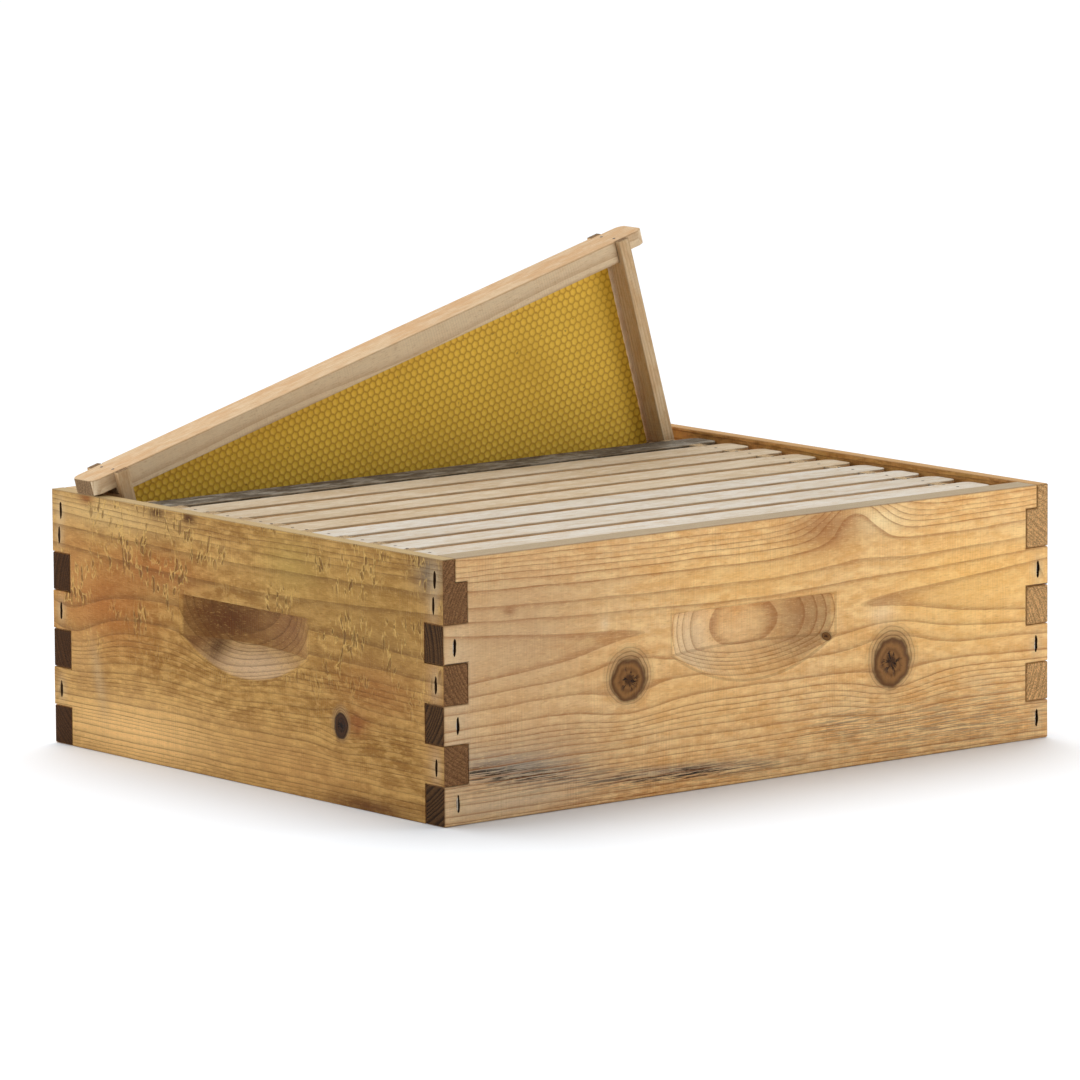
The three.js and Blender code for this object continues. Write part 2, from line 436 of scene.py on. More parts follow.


# What pine() needs to know. The pith's place (up the face, in from it), the ring spacing, the
# wander, ripple and relief are in millimetres, and the rings bend by bow times the square of
# the distance along the board. contrast, streaks, mottled, flecks, gritty, banded, sawn and
# dented are strengths. late_start is where in a ring late wood begins. Only a top bar gets
# painted bounce light, a lighter colour down its sides, and only a board has a weathered rim.
OILED_PINE = {
    "pith": (103, 75.7),
    "bow": 3.5e-5,
    "ring": 2.82,
    "wander": 2.5,
    "ripple": 0.8,
    "late_start": 0.74,
    "early": srgb(234, 194, 138),
    "tint": srgb(226, 174, 111),
    "late": srgb(150, 90, 42),
    "contrast": 0.85,
    "streak": srgb(212, 156, 90),
    "streaks": 0.45,
    "mottle": srgb(214, 155, 84),
    "mottled": 0.45,
    "fleck": srgb(252, 216, 150),
    "flecks": 0.45,
    "gritty": 0.3,
    "end_early": srgb(158, 120, 80),
    "end_late": srgb(104, 70, 42),
    "banded": 0.5,
    "sawn": 1.0,
    "knot_light": srgb(148, 103, 56),
    "knot_dark": srgb(106, 69, 34),
    "knot_heart": srgb(72, 42, 15),
    "knot_halo": srgb(164, 130, 88),
    "knot_rim": srgb(86, 56, 30),
    "knots": [],
    "stains_and_painted_light": [],
    "dented": 0,
    "rim": None,
    "sides": None,
    "worn": srgb(120, 80, 44),
    "roughness": 0.42,
    "relief": 0.5,
}


def board_looks():
    """The four boards: one honey-coloured pair of sides, one ochre and dented pair of ends."""
    weathered = srgb(142, 120, 92)
    stained = srgb(52, 47, 42)
    blue_grey = srgb(146, 140, 130)
    front = {
        **OILED_PINE,
        "end_early": srgb(98, 68, 40),
        "end_late": srgb(30, 16, 6),
        "banded": 0.85,
        "rim": srgb(148, 136, 113),
        "knots": [
            Knot(-104, 77, 13.5, 1.0),
            Knot(116, 64.5, 15.5, 0.95),
            Knot(62, 87, 2.4, 1.2),
            Knot(86, 172, 14, 0.9, push=0, swell=13, shown=False),
        ],
        "stains_and_painted_light": [
            StainOrPaintedLight((-200, 115), (80, 60), srgb(198, 162, 122), 0.8),
            StainOrPaintedLight((-190, 35), (70, 26), srgb(202, 172, 136), 0.75),
            StainOrPaintedLight((-243, 60), (16, 70), srgb(206, 178, 144), 0.65),
            StainOrPaintedLight((-200, 131), (5, 3), srgb(150, 98, 58), 0.7),
            StainOrPaintedLight((-123, 115), (3.5, 4.5), srgb(240, 216, 172), 0.5),
            StainOrPaintedLight((0, 135), (70, 22), srgb(244, 192, 112), 0.5),
            StainOrPaintedLight((-40, 60), (50, 22), srgb(236, 188, 120), 0.5),
            StainOrPaintedLight((62, 158), (34, 16), srgb(158, 104, 58), 0.8),
            StainOrPaintedLight((110, 158), (20, 8), srgb(250, 226, 172), 0.7),
            StainOrPaintedLight((185, 105), (80, 45), srgb(250, 196, 108), 0.6),
            StainOrPaintedLight((108, 97), (12, 9), srgb(240, 212, 168), 0.55),
            StainOrPaintedLight((-190, 22), (80, 26), weathered, 0.55, streaked=True),
            StainOrPaintedLight((170, 18), (100, 22), weathered, 0.7, streaked=True),
            StainOrPaintedLight((75, 28), (30, 9), weathered, 0.7, streaked=True),
            StainOrPaintedLight((-195, 31), (52, 9), blue_grey, 0.7, slope=-0.13),
            StainOrPaintedLight((-200, 27), (62, 6), stained, 1.2, slope=-0.13, streaked=True),
            StainOrPaintedLight((-60, 14), (75, 4), blue_grey, 0.6, slope=-0.04),
            StainOrPaintedLight((-66, 12), (80, 5), stained, 1.2, slope=-0.04, streaked=True),
            StainOrPaintedLight((-110, 3), (60, 3), srgb(176, 108, 50), 0.8, streaked=True),
            StainOrPaintedLight((-200, 9), (64, 9), srgb(212, 186, 152), 0.8),
            # Painted light and shade in the handhold: lighter on its left and middle, darker on
            # its right.
            StainOrPaintedLight((-48, 92), (24, 30), srgb(222, 196, 156), 0.8, scoop="both"),
            StainOrPaintedLight((48, 100), (30, 30), srgb(164, 122, 82), 0.75, scoop="both"),
            StainOrPaintedLight((0, 92), (18, 14), srgb(238, 200, 146), 0.5, scoop="both"),
        ],
    }
    rear = {
        **OILED_PINE,
        "pith": (92, 88),
        "end_early": srgb(84, 54, 29),
        "end_late": srgb(42, 25, 13),
        "rim": srgb(186, 158, 116),
        "knots": [Knot(150, 60, 8), Knot(-60, 42, 6, 1.2)],
        "stains_and_painted_light": [
            StainOrPaintedLight((160, 20), (80, 12), stained, 0.7, streaked=True),
            StainOrPaintedLight((-180, 130), (80, 40), srgb(205, 172, 130), 0.7),
        ],
    }
    ochre = {
        **OILED_PINE,
        "early": srgb(193, 149, 83),
        "tint": srgb(153, 109, 48),
        "late": srgb(92, 56, 22),
        "fleck": srgb(213, 169, 98),
        "mottle": srgb(138, 92, 37),
        "mottled": 0.5,
        "contrast": 0.6,
        "streak": srgb(148, 110, 50),
        "ripple": 1.0,
        "dented": 1.0,
    }
    left = {
        **ochre,
        "end_early": srgb(148, 106, 68),
        "end_late": srgb(88, 54, 30),
        "rim": srgb(176, 152, 108),
        "pith": (118, 60),
        "knots": [
            Knot(102, 51, 8.5, 0.8),
            Knot(-22, 76, 15, 1.5, push=0, swell=6, shown=False),
            Knot(-185, 70, 16, 1.4, push=0, swell=7, shown=False),
        ],
        "knot_light": srgb(70, 42, 20),
        "knot_dark": srgb(44, 27, 14),
        "knot_heart": srgb(24, 15, 9),
        "knot_rim": srgb(56, 34, 16),
        "stains_and_painted_light": [
            StainOrPaintedLight((-150, 98), (58, 30), srgb(168, 102, 44), 0.85),
            StainOrPaintedLight((-95, 128), (50, 14), srgb(164, 98, 42), 0.8),
            StainOrPaintedLight((-115, 17), (95, 24), srgb(240, 194, 126), 0.95),
            StainOrPaintedLight((60, 15), (70, 18), srgb(206, 156, 92), 0.6),
            StainOrPaintedLight((152, 106), (40, 20), srgb(144, 106, 54), 0.6),
            StainOrPaintedLight((-185, 120), (22, 40), srgb(190, 134, 76), 0.5),
            StainOrPaintedLight((-178, 60), (22, 16), srgb(208, 164, 104), 0.6),
            StainOrPaintedLight((140, 78), (44, 16), srgb(156, 98, 46), 0.7),
            StainOrPaintedLight((120, 135), (80, 36), srgb(166, 127, 62), 0.5),
            StainOrPaintedLight((50, 148), (30, 18), srgb(190, 158, 84), 0.6),
            StainOrPaintedLight((20, 30), (40, 12), srgb(206, 160, 96), 0.5),
            StainOrPaintedLight((-150, 158), (70, 11), srgb(220, 184, 122), 0.75),
            StainOrPaintedLight((-168, 166), (8, 4), srgb(140, 80, 34), 0.9),
            StainOrPaintedLight((-91, 165), (9, 4), srgb(80, 46, 14), 1.0),
            StainOrPaintedLight((-57, 165), (7, 4), srgb(80, 46, 14), 1.0),
            StainOrPaintedLight((-104, 138), (4, 9), srgb(126, 80, 24), 0.7),
            StainOrPaintedLight((197, 80), (9, 90), srgb(172, 128, 86), 0.6),
            StainOrPaintedLight((194, 158), (16, 14), srgb(116, 102, 84), 0.9),
            StainOrPaintedLight((-157, 48), (8, 16), srgb(190, 160, 118), 0.6, slope=-2),
            # Painted shade on the handhold's upper wall and painted light on its ramp; two dark
            # spots also lie on the ramp.
            StainOrPaintedLight((-30, 102), (60, 24), srgb(92, 48, 14), 0.95, scoop="wall"),
            StainOrPaintedLight((40, 102), (36, 22), srgb(142, 98, 60), 0.8, scoop="wall"),
            StainOrPaintedLight((6, 76), (52, 13), srgb(212, 178, 138), 0.95, scoop="ramp"),
            StainOrPaintedLight((-36, 84), (10, 9), srgb(84, 52, 26), 0.85, scoop="ramp"),
            StainOrPaintedLight((-58, 86), (14, 10), srgb(112, 66, 28), 0.8, scoop="ramp"),
            StainOrPaintedLight((118, 54), (12, 8), srgb(140, 76, 34), 0.8),
            StainOrPaintedLight((130, 3), (40, 5), srgb(100, 56, 20), 0.85),
        ],
    }
    right = {
        **ochre,
        "early": srgb(218, 168, 108),
        "tint": srgb(196, 144, 82),
        "dented": 0.7,
        "end_early": srgb(214, 168, 112),
        "end_late": srgb(160, 112, 66),
        "rim": srgb(176, 136, 84),
        "pith": (60, 70),
        "knots": [Knot(-120, 120, 7), Knot(70, 30, 5)],
        "stains_and_painted_light": [StainOrPaintedLight((110, 110), (60, 40), srgb(190, 124, 66), 0.6)],
    }
    return {
        "front_side_board": front,
        "rear_side_board": rear,
        "left_end_board": left,
        "right_end_board": right,
    }


BARE_PINE = {
    **OILED_PINE,
    "pith": (0, 0),
    "bow": 0,
    "ring": 1.7,
    "wander": 6,
    "ripple": 0.5,
    "early": srgb(196, 182, 158),
    "tint": srgb(182, 162, 132),
    "late": srgb(170, 136, 98),
    "contrast": 0.38,
    "late_start": 0.4,
    "sawn": 0.35,
    "fleck": srgb(220, 208, 186),
    "flecks": 0.2,
    "gritty": 0.35,
    # Painted bounce light: a lighter, warmer colour for a top bar's sides.
    "sides": srgb(238, 196, 138),
    "mottle": srgb(186, 162, 128),
    "mottled": 0.3,
    "streak": srgb(196, 160, 116),
    "streaks": 0.5,
    "end_early": srgb(190, 164, 128),
    "end_late": srgb(146, 112, 76),
    "worn": srgb(176, 150, 114),
    "roughness": 0.6,
    "relief": 0.25,
}

PALE_PINE = {
    **BARE_PINE,
    "early": srgb(208, 203, 192),
    "tint": srgb(196, 187, 170),
    "fleck": srgb(216, 212, 202),
}

NEW_PINE = {
    **BARE_PINE,
    "early": srgb(214, 186, 148),
    "tint": srgb(208, 170, 126),
    "late": srgb(176, 132, 90),
    "contrast": 0.4,
    # Painted bounce light: a lighter, warmer colour for a top bar's sides.
    "sides": srgb(238, 216, 180),
    "mottle": srgb(204, 158, 110),
    "mottled": 0.4,
    "fleck": srgb(224, 200, 166),
    "streak": srgb(206, 162, 116),
    "end_early": srgb(150, 120, 88),
    "end_late": srgb(84, 62, 40),
}

# Painted light: a lighter copy of NEW_PINE for the leaning frame's end bars, whose inner faces
# lie in shade.
LIGHTENED_END_PINE = {
    **NEW_PINE,
    "early": srgb(230, 205, 164),
    "tint": srgb(218, 186, 142),
}

GREY_PINE = {
    **BARE_PINE,
    "early": srgb(138, 126, 106),
    "tint": srgb(94, 82, 68),
    "late": srgb(56, 46, 36),
    "contrast": 0.8,
    "sides": None,
    "mottle": srgb(84, 74, 62),
    "mottled": 0.7,
    "fleck": srgb(168, 160, 146),
    "streak": srgb(76, 66, 54),
    "streaks": 0.8,
    "end_early": srgb(140, 126, 106),
    "end_late": srgb(84, 72, 58),
    "roughness": 0.7,
    "relief": 0.5,
}


# ---------------------------------------------------------------- wax and steel

def wax():
    """Wax-coated foundation: cell floors painted brighter and walls darker, as painted light and
    shade on the cells, and a few dark bits.
    """
    material, tree, shader = new_material("foundation_wax")
    split = tree.nodes.new("ShaderNodeSeparateXYZ")
    coordinates = tree.nodes.new("ShaderNodeTexCoord")
    tree.links.new(coordinates.outputs["Object"], split.inputs[0])
    across, _, up = [Field(tree, output) * 1000 for output in split.outputs]
    floor = attribute(tree, "floor", "Fac")
    cloud = noise(vector(tree, across / 60, up / 60, 1.1), 3.0)
    speck = noise(vector(tree, across / 1.3, up / 1.3, 5.1), 2.0, 0.7)
    # Painted light and shade: the cell floors lighter, the walls darker.
    colour = mix(floor.ramp(0, 1), srgb(198, 150, 44), srgb(246, 204, 72))
    colour = mix(cloud.ramp(0.35, 0.75) * 0.35, colour, srgb(202, 156, 42))
    bits = noise(vector(tree, across / 4, up / 4, 3.1), 1.0).ramp(0.73, 0.78)
    colour = mix(bits * 0.5, colour, srgb(120, 84, 30))
    plug(tree, brightness(colour, speck * 0.2 + 0.9), shader.inputs["Base Color"])
    plug(tree, speck * 0.2 + 0.36, shader.inputs["Roughness"])
    plug(tree, bump(speck, 0.15), shader.inputs["Normal"])
    shader.inputs["Specular IOR Level"].default_value = 0.15
    return material


def steel(name, bright, rusty, metallic):
    """Wire that rusts in spots. How metallic it looks goes from 0 to 1."""
    material, tree, shader = new_material(name)
    coordinates = tree.nodes.new("ShaderNodeTexCoord")
    split = tree.nodes.new("ShaderNodeSeparateXYZ")
    tree.links.new(coordinates.outputs["Object"], split.inputs[0])
    place = vector(tree, *[Field(tree, output) * 900 for output in split.outputs])
    rust = noise(place, 3.0, 0.6)
    colour = mix(rust.ramp(0.45, 0.65), bright, rusty)
    plug(tree, colour, shader.inputs["Base Color"])
    plug(tree, rust * 0.4 + 0.25, shader.inputs["Roughness"])
    shader.inputs["Metallic"].default_value = metallic
    return material


# ---------------------------------------------------------------- meshes

def link(piece):
    bpy.context.scene.collection.objects.link(piece)
    return piece


def whole_faces(node):
    """A CAD piece as a bmesh with its triangles joined into whole flat faces."""
    mesh = bmesh.new()
    mesh.from_mesh(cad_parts[node].data)
    bmesh.ops.remove_doubles(mesh, verts=mesh.verts, dist=1e-6)
    bmesh.ops.dissolve_limit(
        mesh, angle_limit=math.radians(0.1), verts=mesh.verts, edges=mesh.edges)
    return mesh


def long_axis(mesh):
    """The direction of a piece's longest edge, which is the way its grain runs."""
    longest = max(mesh.edges, key=lambda edge: edge.calc_length())
    axis = (longest.verts[1].co - longest.verts[0].co).normalized()
    return axis if axis.x + axis.y + axis.z > 0 else -axis


def ease_edges(mesh, ease):
    layer = mesh.faces.layers.float.new("eased")
    sharp = [edge for edge in mesh.edges if edge.calc_face_angle(0) > math.radians(20)]
    eased = bmesh.ops.bevel(
        mesh, geom=sharp, offset=ease, segments=2, profile=0.5, affect="EDGES",
        clamp_overlap=True)
    for face in eased["faces"]:
        face[layer] = 1.0


def axes_to_matrix(origin, x_axis, y_axis, z_axis):
    """The matrix that takes points in the given axes to the shared frame."""
    turn = Matrix((x_axis, y_axis, z_axis)).transposed().to_4x4()
    return Matrix.Translation(origin) @ turn


def store_wood(data, axes, offset=Vector((0, 0, 0))):
    """Stores where each point lies in the wood, and which faces are cut across the grain."""
    to_wood = axes.inverted()
    grain = axes.to_3x3().col[0]
    wood = data.attributes.new("wood", "FLOAT_VECTOR", "POINT")
    for vertex, item in zip(data.vertices, wood.data):
        item.vector = to_wood @ vertex.co + offset
    cut = data.attributes.new("end_grain", "FLOAT", "FACE")
    for face, item in zip(data.polygons, cut.data):
        item.value = 1.0 if abs(face.normal.dot(grain)) > 0.8 else 0.0


def finish_piece(piece, body, slot, *nodes):
    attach(piece, body)
    if nodes:
        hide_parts(*nodes)


def mesh_piece(name, mesh, *materials):
    data = bpy.data.meshes.new(name)
    mesh.to_mesh(data)
    mesh.free()
    for material in materials:
        data.materials.append(material)
    return link(bpy.data.objects.new(name, data))


# ---------------------------------------------------------------- boards and staples

CROWN = 10.5 * MM
WIRE = 0.6 * MM
STAPLE_BEND = 1.2 * MM
PIT_DEPTH = 2.6 * MM
NEAR_PIT = 2.5 * MM
STAPLE_HEIGHTS = {
    "side": (13.8 * MM, 63 * MM, 112.5 * MM),
    "end": (36.5 * MM, 88.5 * MM, 138.5 * MM, 155 * MM),
}


def board_axes(node):
    """Along the grain, up the face and in from the middle of the face's bottom edge."""
    low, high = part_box(node)
    middle = (low + high) / 2
    outward = Vector((middle.x, middle.y, 0)).normalized()
    half = (high - low).dot(Vector(map(abs, outward))) / 2
    origin = middle + outward * half
    origin.z = low.z
    return axes_to_matrix(origin, UP.cross(outward), UP, -outward)


def staple_places(node):
    """Where the staples are in a board's own axes, each with its depth below the face."""
    low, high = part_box(node)
    half = max(high.x - low.x, high.y - low.y) / 2
    heights = STAPLE_HEIGHTS["side" if "side" in node else "end"]
    chance = random.Random(node)
    places = []
    for end in (-1, 1):
        for height in heights:
            setback = chance.uniform(7.5, 11) * MM
            sunk = chance.uniform(0.3, 1.4) * MM
            places.append(Vector((end * (half - setback), height, sunk)))
    return places


def pit_cutter(axes, places, chance):
    """Torn-edged slots over the staples, one closed prism each, a little narrower inside."""
    mesh = bmesh.new()
    points = 14
    for place in places:
        rim = []
        for step in range(points):
            angle = 2 * math.pi * step / points
            width = chance.uniform(1.1, 1.8) * MM
            over = math.sin(angle) * (CROWN / 2 + chance.uniform(0.3, 0.9) * MM)
            rim.append((math.cos(angle) * width, over))
        outer = [mesh.verts.new((place.x + across, place.y + over, -1 * MM))
                 for across, over in rim]
        inner = [mesh.verts.new((place.x + across * 0.7, place.y + over * 0.95, PIT_DEPTH))
                 for across, over in rim]
        mesh.faces.new(outer)
        mesh.faces.new(reversed(inner))
        for step in range(points):
            after = (step + 1) % points
            mesh.faces.new((outer[step], inner[step], inner[after], outer[after]))
    bmesh.ops.transform(mesh, matrix=axes, verts=mesh.verts)
    bmesh.ops.recalc_face_normals(mesh, faces=mesh.faces)
    return mesh_piece("pit_cutter", mesh)


def cut_away(piece, cutter):
    """Cuts the cutter out of the piece for good, and removes the cutter."""
    modifier = piece.modifiers.new("cut", "BOOLEAN")
    modifier.operation = "DIFFERENCE"
    modifier.solver = "EXACT"
    modifier.object = cutter
    seen = piece.evaluated_get(bpy.context.evaluated_depsgraph_get())
    cut = bpy.data.meshes.new_from_object(seen)
    piece.modifiers.clear()
    piece.data = cut
    bpy.data.objects.remove(cutter)


def tube(mesh, path, radius, sides=8):
    """A closed round wire along a path of points."""
    rings = []
    side = (path[1] - path[0]).normalized().orthogonal()
    for place, point in enumerate(path):
        before = path[max(place - 1, 0)]
        after = path[min(place + 1, len(path) - 1)]
        heading = (after - before).normalized()
        side = (side - heading * side.dot(heading)).normalized()
        other = heading.cross(side)
        ring = []
        for step in range(sides):
            angle = 2 * math.pi * step / sides
            spoke = side * math.cos(angle) + other * math.sin(angle)
            ring.append(mesh.verts.new(point + spoke * radius))
        rings.append(ring)
    for ring, following in zip(rings, rings[1:]):
        for step in range(sides):
            after = (step + 1) % sides
            mesh.faces.new((ring[step], ring[after], following[after], following[step]))
    mesh.faces.new(list(reversed(rings[0])))
    mesh.faces.new(rings[-1])


def staple_path(place):
    """Crown and short legs of a sunk staple, in a board's own axes."""
    half = CROWN / 2 - WIRE
    steps = 4
    side = [(half, PIT_DEPTH + 2 * MM)]
    for step in range(steps + 1):
        angle = math.pi / 2 * step / steps
        side.append((half - STAPLE_BEND * (1 - math.cos(angle)),
                     place.z + WIRE + STAPLE_BEND * (1 - math.sin(angle))))
    lower = [Vector((place.x, place.y - over, depth)) for over, depth in side]
    upper = [Vector((place.x, place.y + over, depth)) for over, depth in side]
    return lower + upper[::-1]


def store_pit_shade(data, axes, places):
    """Marks the faces inside the staples' pits, which get painted shade."""
    to_board = axes.inverted()
    pit_shade = data.attributes.new("pit_shade", "FLOAT", "FACE")
    for face, item in zip(data.polygons, pit_shade.data):
        middle = to_board @ face.center
        near = any(abs(middle.x - place.x) < NEAR_PIT and abs(middle.y - place.y) < CROWN
                   for place in places)
        inside = TOUCHING < middle.z <= PIT_DEPTH + TOUCHING
        item.value = 1.0 if near and inside else 0.0


def staple_marks(places):
    """Pale bruised wood around each staple."""
    bruised = srgb(206, 178, 136)
    return [StainOrPaintedLight((place.x / MM, place.y / MM), (5, 9), bruised, 0.6) for place in places]


def make_board(node, looks, wire):
    axes = board_axes(node)
    mesh = whole_faces(node)
    ease_edges(mesh, BOARD_EDGE)
    places = staple_places(node)
    piece = mesh_piece(f"{node}_wood", mesh, pine(f"{node}_pine", looks, staple_marks(places)))
    cut_away(piece, pit_cutter(axes, places, random.Random(f"{node} pits")))
    piece.data.shade_smooth()
    piece.data.set_sharp_from_angle(angle=math.radians(12))
    store_wood(piece.data, axes)
    store_pit_shade(piece.data, axes, places)
    slot = "side_board_wood" if "side" in node else "end_board_wood"
    finish_piece(piece, "box", slot, node)

    wires = bmesh.new()
    for place in places:
        tube(wires, staple_path(place), WIRE)
    bmesh.ops.transform(wires, matrix=axes, verts=wires.verts)
    bmesh.ops.recalc_face_normals(wires, faces=wires.faces)
    staples = mesh_piece(f"{node}_staples", wires, wire)
    staples.data.shade_smooth()
    finish_piece(staples, "box", slot)


# ---------------------------------------------------------------- frames

def frame_axes(number):
    """A frame's own axes, with the origin at the middle of its foundation."""
    mesh = whole_faces(f"frame_{number}_top_bar")
    along = long_axis(mesh)
    mesh.free()
    low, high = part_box(f"frame_{number}_foundation")
    return axes_to_matrix((low + high) / 2, along, SIDEWAYS, along.cross(SIDEWAYS))


def make_bar(node, name, material, chance, body, slot):
    """A bar of a frame, its wood taken from a random place in a log. Also returns the
    direction that its wide face looks in, which is up for a top bar."""
    mesh = whole_faces(node)
    grain = long_axis(mesh)
    ease_edges(mesh, BAR_EDGE)
    piece = mesh_piece(name, mesh, material)
    piece.data.shade_flat()
    low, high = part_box(node)
    wood_axes = axes_to_matrix((low + high) / 2, grain, grain.cross(SIDEWAYS), -SIDEWAYS)
    log = Vector((chance.uniform(-9, 9), chance.uniform(-0.03, 0.03), chance.uniform(0.03, 0.08)))
    store_wood(piece.data, wood_axes, log)
    finish_piece(piece, body, slot, node)
    return piece, grain.cross(SIDEWAYS)


def store_depth(data, up):
    """Stores how far each point lies below the piece's top face, in millimetres."""
    top = max(vertex.co.dot(up) for vertex in data.vertices)
    below = data.attributes.new("below", "FLOAT", "POINT")
    for vertex, item in zip(data.vertices, below.data):
        item.value = (top - vertex.co.dot(up)) / MM


CELL_WIDTH = 5.43 * MM
CELL_RADIUS = CELL_WIDTH / math.sqrt(3)
WALL_TOP = 1.9 * MM
FLOOR_EDGE = 1.55 * MM
FLOOR_MIDDLE = 1.35 * MM
FLOOR_SHARE = 0.62


def hexagon(middle, radius):
    """The corners of a cell with upright side walls, counted round."""
    points = []
    for corner in range(6):
        angle = math.radians(30 + 60 * corner)
        points.append(middle + Vector((math.cos(angle), math.sin(angle))) * radius)
    return points


def cell_middles(half_length, half_height):
    row_step = 1.5 * CELL_RADIUS
    rows = math.ceil(half_height / row_step) + 1
    columns = math.ceil(half_length / CELL_WIDTH) + 1
    for row in range(-rows, rows + 1):
        shift = CELL_WIDTH / 2 if row % 2 else 0
        for column in range(-columns, columns + 1):
            yield Vector((column * CELL_WIDTH + shift, row * row_step))


def comb_mesh(half_length, half_height):
    """Foundation in its own axes: both faces pressed with worker cells, edges cut square."""
    mesh = bmesh.new()
    floor_layer = mesh.verts.layers.float.new("floor")

    def add(point, depth, floor):
        vertex = mesh.verts.new((point.x, -depth, point.y))
        vertex[floor_layer] = floor
        return vertex

    for middle in cell_middles(half_length, half_height):
        walls = [add(point, WALL_TOP, 0) for point in hexagon(middle, CELL_RADIUS)]
        floors = [add(point, FLOOR_EDGE, 0.8)
                  for point in hexagon(middle, CELL_RADIUS * FLOOR_SHARE)]
        heart = add(middle, FLOOR_MIDDLE, 1)
        for corner in range(6):
            after = (corner + 1) % 6
            mesh.faces.new((walls[corner], walls[after], floors[after], floors[corner]))
            mesh.faces.new((floors[corner], floors[after], heart))
    bmesh.ops.remove_doubles(mesh, verts=mesh.verts, dist=TOUCHING)
    for normal, distance in (((1, 0, 0), half_length), ((0, 0, 1), half_height)):
        for side in (-1, 1):
            plane = Vector(normal) * side
            bmesh.ops.bisect_plane(
                mesh, geom=[*mesh.verts, *mesh.edges, *mesh.faces], dist=1e-7,
                plane_co=plane * distance, plane_no=plane, clear_outer=True)
    rim = [edge for edge in mesh.edges if edge.is_boundary]
    skirt = bmesh.ops.extrude_edge_only(mesh, edges=rim)["geom"]
    for vertex in (item for item in skirt if isinstance(item, bmesh.types.BMVert)):
        vertex.co.y = 0
    both = [*mesh.verts, *mesh.edges, *mesh.faces]
    bmesh.ops.mirror(mesh, geom=both, axis="Y", merge_dist=TOUCHING)
    bmesh.ops.recalc_face_normals(mesh, faces=mesh.faces)
    data = bpy.data.meshes.new("foundation")
    mesh.to_mesh(data)
    mesh.free()
    data.shade_smooth()
    data.set_sharp_from_angle(angle=math.radians(60))
    return data


def foundation_halves(number, axes):
    """Half the length and height of a foundation's pressed part, without its tongues."""
    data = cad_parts[f"frame_{number}_foundation"].data
    to_frame = axes.inverted()
    points = [to_frame @ vertex.co for vertex in data.vertices]
    thick = max(point.y for point in points)
    pressed = [point for point in points if point.y > 0.9 * thick]
    return max(point.x for point in points), max(point.z for point in pressed)


NAIL_HEAD = 1.1 * MM
NAIL_TAPER = 0.8
NAIL_THICK = 0.5 * MM
NAIL_SUNK = 0.15 * MM
NAIL_SPREAD = {1: 6.5 * MM, -1: 5 * MM}


def nail_heads(number, axes):
    """Two brads down into each end bar and two up through the bottom bar at each end. Each
    head is a flat cone, wide end out. Up is 1 and down is -1."""
    to_frame = axes.inverted()
    heads = bmesh.new()
    chance = random.Random(f"nails {number}")
    for bar in ("left_end_bar", "right_end_bar"):
        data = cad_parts[f"frame_{number}_{bar}"].data
        points = [to_frame @ vertex.co for vertex in data.vertices]
        across = (max(point.x for point in points) + min(point.x for point in points)) / 2
        top = max(point.z for point in points)
        foot = min(point.z for point in points)
        for side in (-1, 1):
            for level, facing in ((top, 1), (foot, -1)):
                middle = Vector((
                    across + chance.uniform(-1, 1) * MM,
                    side * NAIL_SPREAD[facing] + chance.uniform(-1, 1) * MM,
                    level - facing * NAIL_SUNK))
                bmesh.ops.create_cone(
                    heads, cap_ends=True, cap_tris=False, segments=14,
                    radius1=NAIL_HEAD * (NAIL_TAPER if facing > 0 else 1),
                    radius2=NAIL_HEAD * (1 if facing > 0 else NAIL_TAPER),
                    depth=NAIL_THICK, matrix=Matrix.Translation(middle))
    bmesh.ops.transform(heads, matrix=axes, verts=heads.verts)
    return heads


def bar_wood(number, bar):
    """Which wood a bar is made of: the bars of the front frames have bleached most."""
    if number == LEANING:
        # The leaning frame's end bars take the lighter copy, painted light for their shaded inner
        # faces.
        return "lightened_end" if "end_bar" in bar else "new"
    if number == WEATHERED and bar == "top_bar":
        return "grey"
    return "pale" if number <= BLEACHED else "bare"


def make_frame(number, woods, wire, comb):
    body = "leaning_frame" if number == LEANING else f"frame_{number}"
    chance = random.Random(f"frame {number}")
    axes = frame_axes(number)
    for bar in BARS:
        node = f"frame_{number}_{bar}"
        wood = bar_wood(number, bar)
        slot = "weathered_bar" if wood == "grey" else "frame_wood"
        piece, up = make_bar(node, f"{node}_wood", woods[wood], chance, body, slot)
        if bar == "top_bar":
            # How deep each point lies below the top face places the painted bounce light on the
            # bar's sides.
            store_depth(piece.data, up)
    sheet = link(bpy.data.objects.new(f"frame_{number}_foundation_wax", comb))
    sheet.matrix_world = axes
    finish_piece(sheet, body, "foundation_wax", f"frame_{number}_foundation")
    nails = mesh_piece(f"frame_{number}_nails", nail_heads(number, axes), wire)
    finish_piece(nails, body, "frame_wood")


# ---------------------------------------------------------------- studio

def make_camera():
    """A long lens from the front left corner, a little above the box."""
    azimuth = math.radians(-38.87)
    elevation = math.radians(8.55)
    roll = math.radians(-0.36)
    distance = 5.752
    back = Vector((math.sin(azimuth) * math.cos(elevation),
                   -math.cos(azimuth) * math.cos(elevation), math.sin(elevation)))
    level = Vector((math.cos(azimuth), math.sin(azimuth), 0))
    rise = back.cross(level)
    right = level * math.cos(roll) + rise * math.sin(roll)
    up = rise * math.cos(roll) - level * math.sin(roll)
    middle = Vector((0, 0, RIM * MM / 2))
    aim = middle - right * (7 * MM) + up * (47.8 * MM)
    data = bpy.data.cameras.new("camera")
    data.sensor_width = 36
    data.lens = 292.4
    data.clip_end = 60
    camera = link(bpy.data.objects.new("camera", data))
    camera.matrix_world = axes_to_matrix(aim + back * distance, right, up, back)
    bpy.context.scene.camera = camera


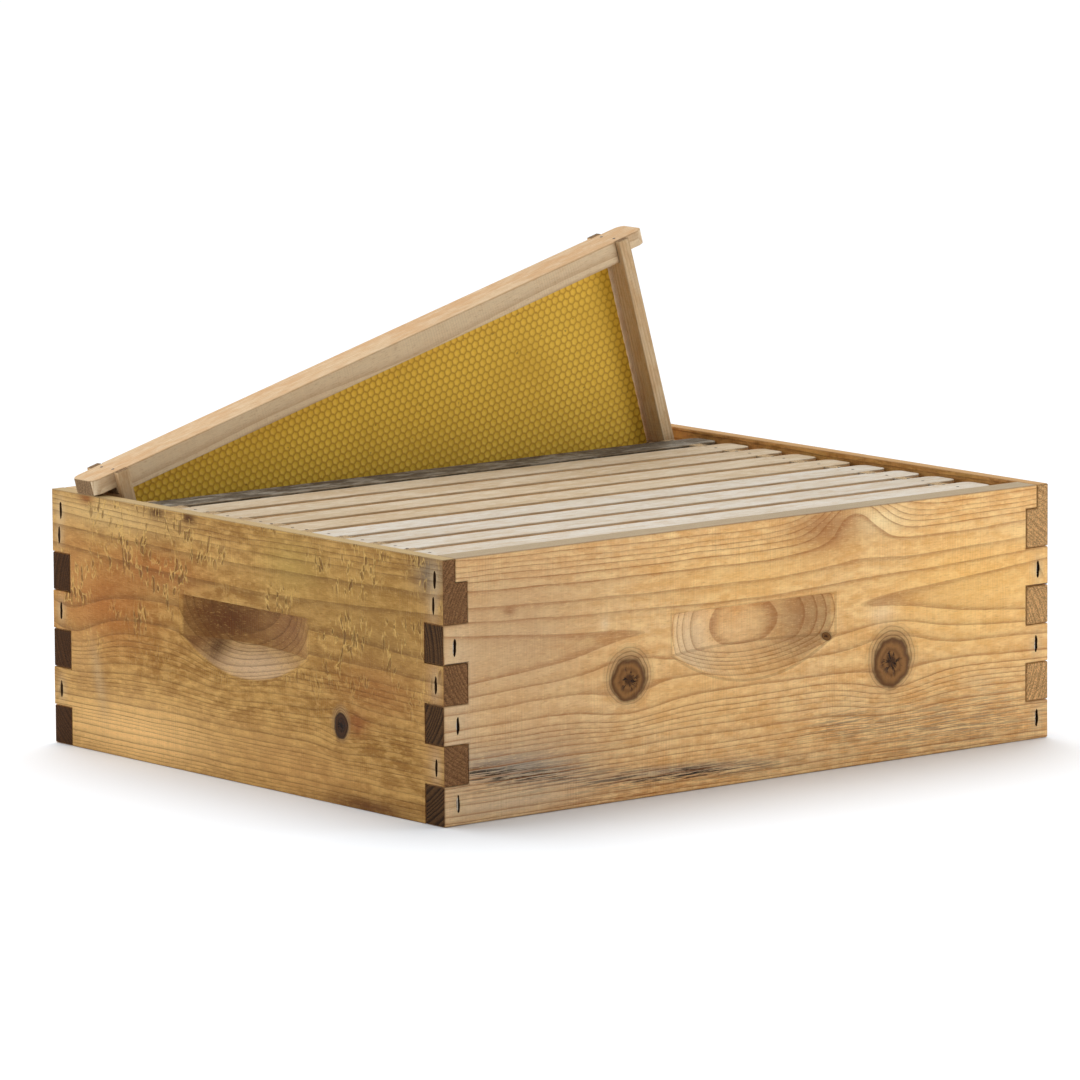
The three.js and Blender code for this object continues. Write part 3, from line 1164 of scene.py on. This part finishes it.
def make_floor():
    """A white floor that runs past the view on every side."""
    reach = 12
    data = bpy.data.meshes.new("floor")
    corners = [(-reach, -reach, 0), (reach, -reach, 0), (reach, reach, 0), (-reach, reach, 0)]
    data.from_pydata(corners, [], [(0, 1, 2, 3)])
    floor = link(bpy.data.objects.new("floor", data))
    floor.location.z = CAD_BOUNDS[0].z - 0.2 * MM
    material, _, shader = new_material("white_floor")
    shader.inputs["Base Color"].default_value = (0.90, 0.925, 0.955, 1)
    shader.inputs["Roughness"].default_value = 0.9
    shader.inputs["Specular IOR Level"].default_value = 0.1
    data.materials.append(material)


def add_sun(name, heading, strength, softness):
    """An even light from a direction, as from a large soft box far away."""
    data = bpy.data.lights.new(name, "SUN")
    data.energy = strength
    data.angle = math.radians(softness)
    sun = link(bpy.data.objects.new(name, data))
    sun.rotation_mode = "QUATERNION"
    sun.rotation_quaternion = Vector(heading).to_track_quat("-Z", "Y")


def add_softbox(name, place, aim, size, power):
    """A square soft box that faces a point on the hive."""
    data = bpy.data.lights.new(name, "AREA")
    data.size = size
    data.energy = power
    box = link(bpy.data.objects.new(name, data))
    box.location = place
    box.rotation_mode = "QUATERNION"
    box.rotation_quaternion = (Vector(aim) - Vector(place)).to_track_quat("-Z", "Y")


def make_lights():
    add_sun("overhead", (-0.2, -0.45, -1), 2.8, 60)
    add_softbox("right_softbox", (1.3, -1.1, 0.5), (0.15, -0.2, 0.1), 0.8, 8)
    add_softbox("left_softbox", (-1.5, 0.7, 0.6), (-0.25, 0, 0.1), 0.8, 5)
    world = bpy.data.worlds.new("studio")
    bpy.context.scene.world = world
    world.use_nodes = True
    tree = world.node_tree
    soft = tree.nodes["Background"]
    soft.inputs["Color"].default_value = (1, 1, 1, 1)
    soft.inputs["Strength"].default_value = 0.36
    seen = tree.nodes.new("ShaderNodeBackground")
    seen.inputs["Color"].default_value = (1, 1, 1, 1)
    path = tree.nodes.new("ShaderNodeLightPath")
    choose = tree.nodes.new("ShaderNodeMixShader")
    tree.links.new(path.outputs["Is Camera Ray"], choose.inputs[0])
    tree.links.new(soft.outputs[0], choose.inputs[1])
    tree.links.new(seen.outputs[0], choose.inputs[2])
    tree.links.new(choose.outputs[0], tree.nodes["World Output"].inputs[0])
    bpy.context.scene.view_settings.view_transform = "Standard"


make_camera()
make_floor()
make_lights()

bright_staple = steel("bright_staple_wire", srgb(224, 214, 196), srgb(150, 120, 90), 0.3)
rusty_staple = steel("rusty_staple_wire", srgb(120, 92, 66), srgb(64, 42, 26), 0.4)
for node, looks in board_looks().items():
    make_board(node, looks, bright_staple if "side" in node else rusty_staple)

brad_look = steel("brad_wire", srgb(96, 86, 74), srgb(58, 40, 28), 0.85)
woods = {
    "bare": pine("bare_pine", BARE_PINE),
    "pale": pine("pale_pine", PALE_PINE),
    "new": pine("new_pine", NEW_PINE),
    "lightened_end": pine("lightened_end_pine", LIGHTENED_END_PINE),
    "grey": pine("grey_pine", GREY_PINE),
}
# The sheets of foundation are all alike, so they share one mesh.
comb = comb_mesh(*foundation_halves(1, frame_axes(1)))
comb.materials.append(wax())
for number in FRAMES:
    make_frame(number, woods, brad_look, comb)
